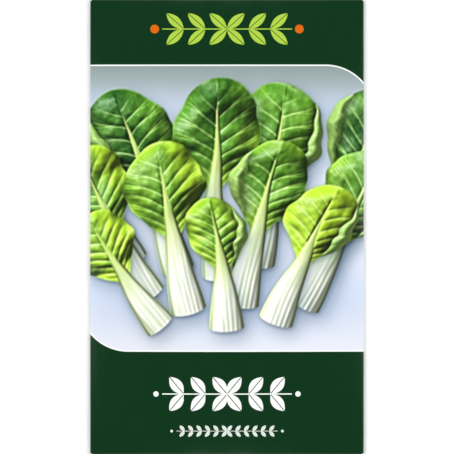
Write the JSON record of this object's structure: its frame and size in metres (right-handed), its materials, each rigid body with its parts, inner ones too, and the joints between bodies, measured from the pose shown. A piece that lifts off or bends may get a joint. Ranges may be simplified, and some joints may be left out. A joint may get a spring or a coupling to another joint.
{
  "type": "seed packet",
  "caption": "Flat folded paper seed packet with a printed front, glued side seam and end flaps, holding small round seeds.",
  "frame": {"origin": "under the middle of the packet, on the surface that it lies on", "axes": "the packet lies on its back: +X across its front to the right, +Y up its front to the top edge, +Z out of its front"},
  "size_m": [0.081, 0.135, 0.0048],
  "materials": {
    "printed_paper": "satin",
    "seed_coat": "matte"
  },
  "bodies": {
    "root": {"paper_envelope": "printed_paper", "seeds": "seed_coat"}
  },
  "joints": []
}
